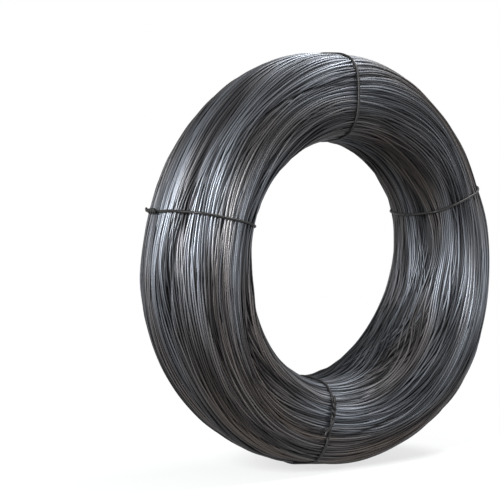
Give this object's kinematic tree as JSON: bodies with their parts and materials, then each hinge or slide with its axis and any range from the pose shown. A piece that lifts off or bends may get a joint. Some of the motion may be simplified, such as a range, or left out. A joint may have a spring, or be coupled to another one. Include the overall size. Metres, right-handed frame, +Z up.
{
  "type": "coil of wire rod",
  "caption": "Coil of dark steel wire rod, wound into a thick ring and held by tie wires with twisted knots.",
  "frame": {"origin": "on the floor under the middle of the coil, which stands on its rim", "axes": "bore along Y, front (the side the picture shows) towards -Y, +Z up"},
  "size_m": [1.15, 0.2957, 1.1568],
  "materials": {
    "rod_steel": "dark annealed, half gloss",
    "tie_steel": "black annealed, dull"
  },
  "bodies": {
    "root": {"coil_turns": "rod_steel", "tie_wire_left": "tie_steel", "tie_wire_bottom": "tie_steel", "tie_wire_right": "tie_steel", "tie_wire_top": "tie_steel"}
  },
  "joints": []
}
